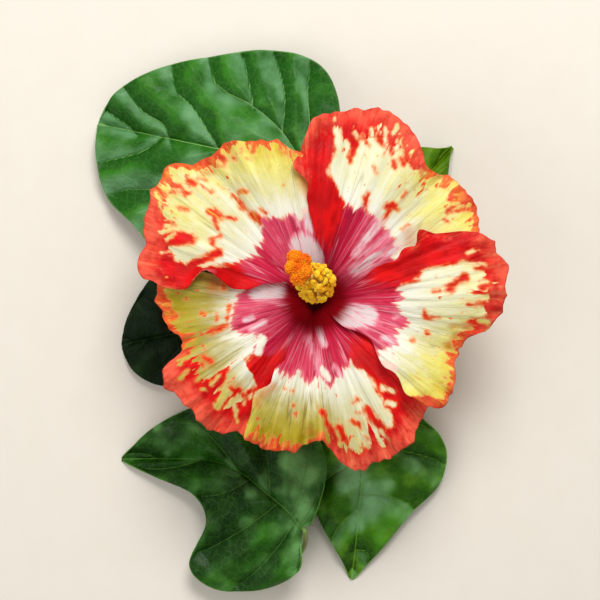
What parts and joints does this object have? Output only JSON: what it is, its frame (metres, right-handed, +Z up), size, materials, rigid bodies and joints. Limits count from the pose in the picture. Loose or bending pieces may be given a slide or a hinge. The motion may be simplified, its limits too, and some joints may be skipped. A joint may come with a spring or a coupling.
{
  "type": "cut hibiscus sprig",
  "caption": "Cut sprig of garden hibiscus lying on a surface: a short stem with one large open bloom facing up, its column and anthers, and heart-shaped leaves round it.",
  "frame": {"origin": "centre of the sprig's bounding box, on the surface it lies on", "axes": "+Z up, out of the open face of the bloom; +Y along the stem, from its cut end towards its tip; +X to the right of the bloom, seen from above with the cut end nearest"},
  "size_m": [0.1845, 0.2494, 0.0975],
  "materials": {
    "petal": "satin, cream and yellow splashed with red, magenta towards the throat",
    "leaf": "glossy, quilted between the veins",
    "green_stalk": "satin",
    "column": "satin",
    "anther": "matt, powdery",
    "stigma": "matt, velvety"
  },
  "bodies": {
    "root": {"stem": "green_stalk", "flower_stalk": "green_stalk", "epicalyx": "green_stalk", "calyx": "green_stalk", "petal_upper_left": "petal", "petal_upper_right": "petal", "petal_right": "petal", "petal_lower": "petal", "petal_left": "petal", "staminal_column": "column", "anther_head": "anther", "stigma_pads": "stigma", "leaf_upper_left": "leaf", "petiole_upper_left": "green_stalk", "leaf_upper_right": "leaf", "petiole_upper_right": "green_stalk", "leaf_left": "leaf", "petiole_left": "green_stalk", "leaf_lower_left": "leaf", "petiole_lower_left": "green_stalk", "leaf_lower_right": "leaf", "petiole_lower_right": "green_stalk"}
  },
  "joints": []
}
